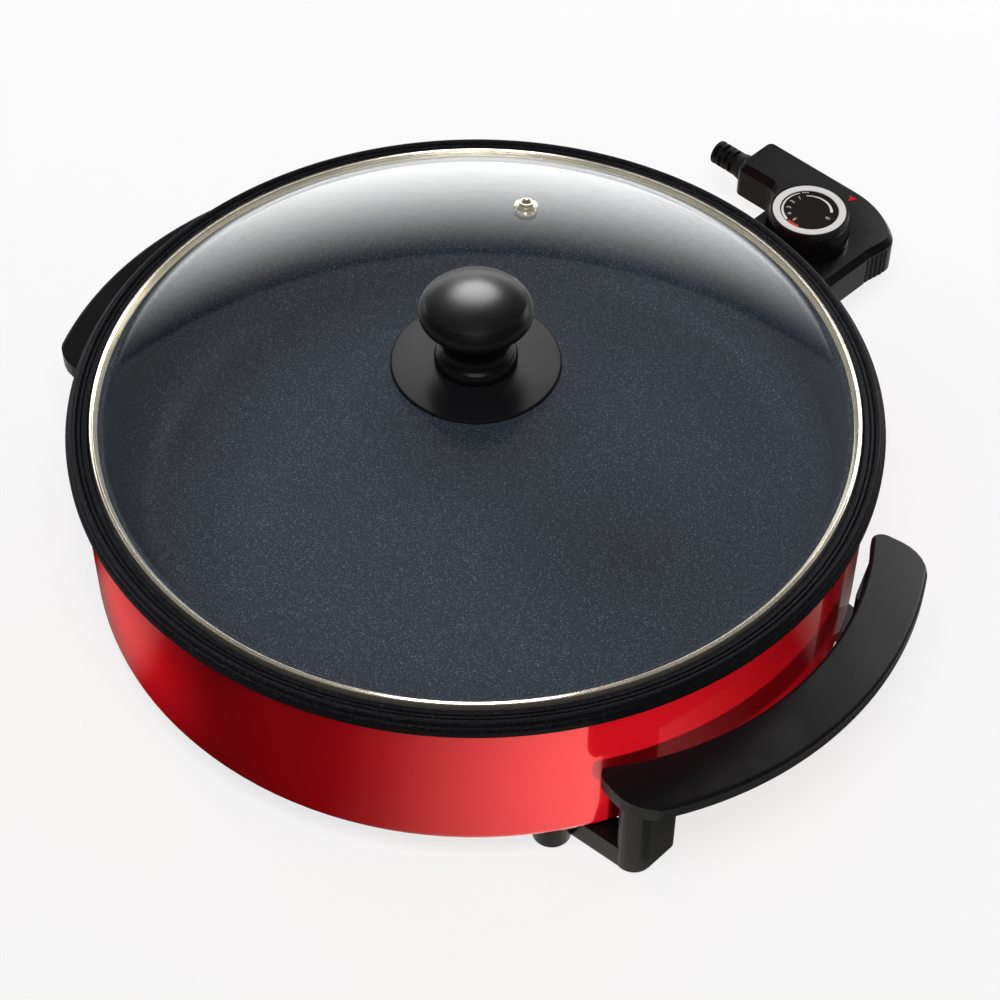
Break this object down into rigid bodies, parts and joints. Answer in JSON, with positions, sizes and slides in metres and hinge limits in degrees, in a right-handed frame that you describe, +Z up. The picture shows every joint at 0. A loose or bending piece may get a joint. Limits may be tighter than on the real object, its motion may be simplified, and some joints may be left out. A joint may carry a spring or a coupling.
{
  "type": "electric multicooker",
  "caption": "Round electric pan with a red shell, a lift-off glass lid with a knob, arc handles that stand on legs, and a plug-in thermostat controller with a dial.",
  "frame": {"origin": "on the pan's axis, at the level of the table that the feet stand on", "axes": "+Z is up along the pan's axis, +X runs through the right handle, and +Y points out to the plug-in controller"},
  "size_m": [0.4492, 0.4879, 0.173],
  "materials": {
    "nonstick": "black non-stick coating with a fine metallic speckle",
    "red_enamel": "glossy red enamel on sheet steel",
    "plated_sheet": "plated sheet steel",
    "black_moulding": "satin black heat-proof moulding",
    "bare_aluminium": "cast aluminium",
    "element_sheath": "heat-darkened steel sheath",
    "plated_steel": "plated steel",
    "ceramic": "glazed ceramic",
    "clear_glass": "clear tempered glass",
    "polished_steel": "polished stainless steel",
    "gloss_black": "gloss black phenolic",
    "brass": "bright brass",
    "silicone": "pale silicone",
    "casing_black": "satin black moulding",
    "lens_red": "red tinted lens",
    "lamp_glass": "neon lamp",
    "black_rubber": "black flexible sleeve",
    "dial_black": "satin black moulding",
    "dial_white": "bright white ring",
    "dial_dark": "dark brown printed face",
    "cam_plastic": "ivory moulding"
  },
  "bodies": {
    "pan": {"inner_pan": "nonstick", "outer_shell": "red_enamel", "bottom_cover": "plated_sheet", "centre_stud": "plated_steel", "centre_washer": "plated_steel", "centre_nut": "plated_steel", "right_handle": "black_moulding", "left_handle": "black_moulding", "handle_screws": "plated_steel", "handle_nuts": "plated_steel", "heat_spreader": "bare_aluminium", "heating_element": "element_sheath", "element_clamps": "plated_steel", "element_screws": "plated_steel", "terminal_pins": "plated_steel", "pin_insulators": "ceramic", "inlet_socket": "black_moulding", "inlet_screws": "plated_steel", "probe_well": "bare_aluminium"},
    "lid": {"lid_glass": "clear_glass", "lid_ring": "polished_steel", "vent_ferrule": "polished_steel", "knob_guard": "gloss_black", "lid_knob": "gloss_black", "knob_insert": "brass", "knob_screw": "plated_steel", "knob_washer": "plated_steel", "knob_seal": "silicone"},
    "controller": {"housing_top": "casing_black", "housing_base": "casing_black", "housing_screws": "plated_steel", "pilot_lens": "lens_red", "pilot_lamp": "lamp_glass", "strain_relief": "black_rubber", "cord_clamp": "black_moulding", "clamp_screws": "plated_steel", "plug_nose": "black_moulding", "contact_sleeves": "brass", "probe_tube": "polished_steel", "spindle_bush": "brass", "thermostat_frame": "plated_steel", "frame_screws": "plated_steel", "lever_pin": "plated_steel", "contact_post": "brass", "post_insulator": "ceramic"},
    "dial": {"dial_knob": "dial_black", "dial_ring": "dial_white", "dial_face": "dial_dark", "dial_spindle": "plated_steel", "spindle_clip": "plated_steel", "dial_cam": "cam_plastic"},
    "switch_lever": {"contact_lever": "brass", "lever_contact": "plated_steel"}
  },
  "joints": [
    {"name": "lid_lift", "type": "slide", "parent": "pan", "child": "lid", "axis": [0, 0, 1], "range_m": [0, 0.2]},
    {"name": "controller_pull", "type": "slide", "parent": "pan", "child": "controller", "axis": [0, 1, 0], "range_m": [0, 0.12]},
    {"name": "dial_turn", "type": "hinge", "parent": "controller", "child": "dial", "pos_m": [0, 0.249, 0.06], "axis": [0, 0, 1], "range_deg": [-171, 80]},
    {"name": "lever_swing", "type": "hinge", "parent": "controller", "child": "switch_lever", "pos_m": [0.014, 0.233, 0.038], "axis": [0, 0, 1], "range_deg": [-3.5, 1.7]}
  ],
  "couplings": [
    {"joint": "lever_swing", "follows": "dial_turn", "ratio": 0.02}
  ]
}
